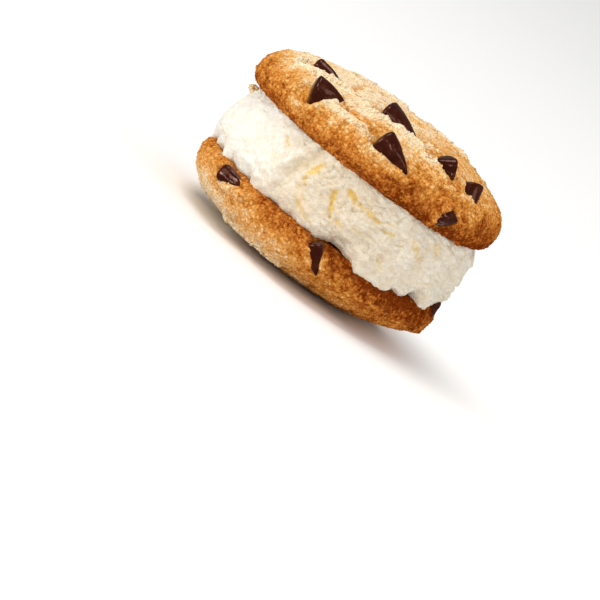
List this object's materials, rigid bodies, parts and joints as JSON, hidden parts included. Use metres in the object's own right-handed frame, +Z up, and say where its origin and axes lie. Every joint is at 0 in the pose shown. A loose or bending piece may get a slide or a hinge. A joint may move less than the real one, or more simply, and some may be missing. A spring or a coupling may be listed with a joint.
{
  "type": "ice cream cookie sandwich",
  "caption": "Ice cream cookie sandwich: thick chocolate chip cookies, domed sides out, round a disc of vanilla ice cream with a ragged lower edge.",
  "frame": {"origin": "middle of the small flat spot that the lower cookie's dome rests on", "axes": "+Z up through the stack, from the lower cookie through the ice cream to the upper cookie; -Y faces the side that the picture shows"},
  "size_m": [0.0792, 0.0801, 0.055],
  "materials": {
    "crust": "baked golden cookie crust, granular and matte",
    "ice_cream": "frozen vanilla ice cream, soft and slightly damp",
    "chocolate": "dark chocolate, semi-gloss"
  },
  "bodies": {
    "root": {"top_cookie": "crust", "bottom_cookie": "crust", "ice_cream": "ice_cream", "top_chip_01": "chocolate", "top_chip_02": "chocolate", "top_chip_03": "chocolate", "top_chip_04": "chocolate", "top_chip_05": "chocolate", "top_chip_06": "chocolate", "top_chip_07": "chocolate", "top_chip_08": "chocolate", "top_chip_09": "chocolate", "top_chip_10": "chocolate", "top_chip_11": "chocolate", "bottom_chip_01": "chocolate", "bottom_chip_02": "chocolate", "bottom_chip_03": "chocolate", "bottom_chip_04": "chocolate", "bottom_chip_05": "chocolate", "bottom_chip_06": "chocolate", "bottom_chip_07": "chocolate", "bottom_chip_08": "chocolate"}
  },
  "joints": []
}
